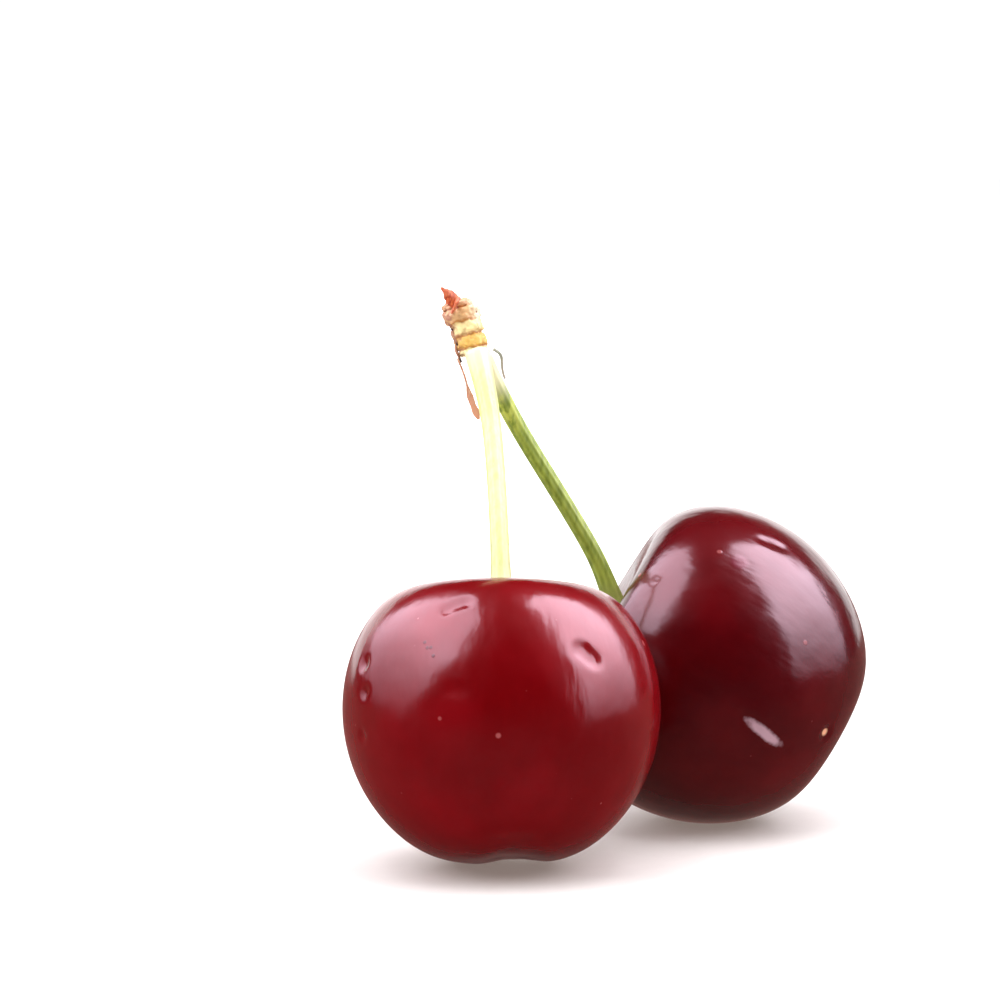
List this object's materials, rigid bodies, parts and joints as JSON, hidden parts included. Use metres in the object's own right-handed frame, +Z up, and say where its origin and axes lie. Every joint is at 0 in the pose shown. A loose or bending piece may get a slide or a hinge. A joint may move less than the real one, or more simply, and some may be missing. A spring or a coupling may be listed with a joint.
{
  "type": "pair of cherries on stalks",
  "caption": "Ripe dark red sweet cherries, each on its own stalk, still joined at a ringed bud spur, resting together on their fruits with the stalks leaning up.",
  "frame": {"origin": "on the surface that the pair rests on, under the middle of its outline", "axes": "+Z up; the front fruit lies towards -Y and -X, the side fruit towards +X and +Y; metres"},
  "size_m": [0.0445, 0.0452, 0.0466],
  "materials": {
    "cherry_skin": "smooth waxy fruit skin, dark crimson with fine pale dots, high gloss",
    "pale_stalk": "fresh pale yellow-green stalk, satin, faint lengthwise ribs",
    "green_stalk": "fresh olive green stalk, satin, fine lengthwise ribs",
    "ringed_spur": "pale yellow corky rings with golden brown grooves, matt",
    "bud_scale": "dry papery scale, pinkish brown with a dark tip, matt",
    "torn_tip": "torn red-orange scale, matt and fibrous",
    "dry_bract": "dry papery strip on a thread, orange brown, matt",
    "dry_wisp": "dry pale grey curled fibre, matt"
  },
  "bodies": {
    "root": {"front_cherry": "cherry_skin", "side_cherry": "cherry_skin", "front_stalk": "pale_stalk", "side_stalk": "green_stalk", "bud_spur": "ringed_spur", "bud_scale_1": "bud_scale", "bud_scale_2": "bud_scale", "bud_scale_3": "bud_scale", "bud_scale_4": "bud_scale", "bud_scale_5": "bud_scale", "bud_scale_6": "bud_scale", "bud_scale_7": "bud_scale", "tip_scale": "torn_tip", "hanging_bract": "dry_bract", "dried_wisp": "dry_wisp"}
  },
  "joints": []
}
